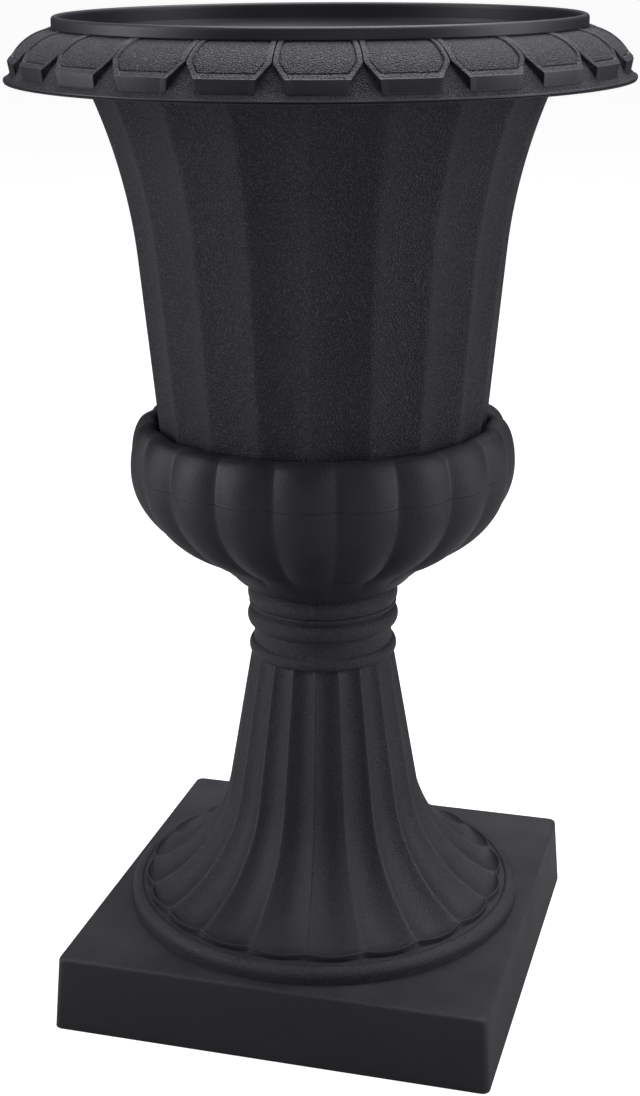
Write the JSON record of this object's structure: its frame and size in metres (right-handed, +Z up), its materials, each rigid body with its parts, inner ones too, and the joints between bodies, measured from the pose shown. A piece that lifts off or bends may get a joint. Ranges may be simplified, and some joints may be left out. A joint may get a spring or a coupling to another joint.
{
  "type": "urn planter",
  "caption": "Garden urn planter: a fluted bowl with a tiled, rolled lip lifts out of a lobed cup, on a ringed neck, a fluted stem and a square plinth.",
  "frame": {"origin": "centre of the plinth's underside, on the floor", "axes": "+Z up; X and Y along the sides of the square plinth"},
  "size_m": [0.4059, 0.406, 0.679],
  "materials": {
    "grained_plastic": "charcoal, fine sand grain",
    "satin_plastic": "charcoal, satin, faintly mottled",
    "plug_rubber": "soft black rubber",
    "zinc_steel": "zinc plated"
  },
  "bodies": {
    "stand": {"pedestal": "satin_plastic", "neck_ring": "satin_plastic", "cup": "satin_plastic", "tie_bolt": "zinc_steel", "head_washer": "zinc_steel", "nut_washer": "zinc_steel", "tie_nut": "zinc_steel"},
    "bowl": {"bowl": "grained_plastic"},
    "drain_plug": {"drain_plug": "plug_rubber"}
  },
  "joints": [
    {"name": "bowl_lift", "type": "slide", "parent": "stand", "child": "bowl", "axis": [0, 0, 1], "range_m": [0, 0.1]},
    {"name": "plug_pull", "type": "slide", "parent": "bowl", "child": "drain_plug", "axis": [0, 0, 1], "range_m": [0, 0.03]}
  ]
}
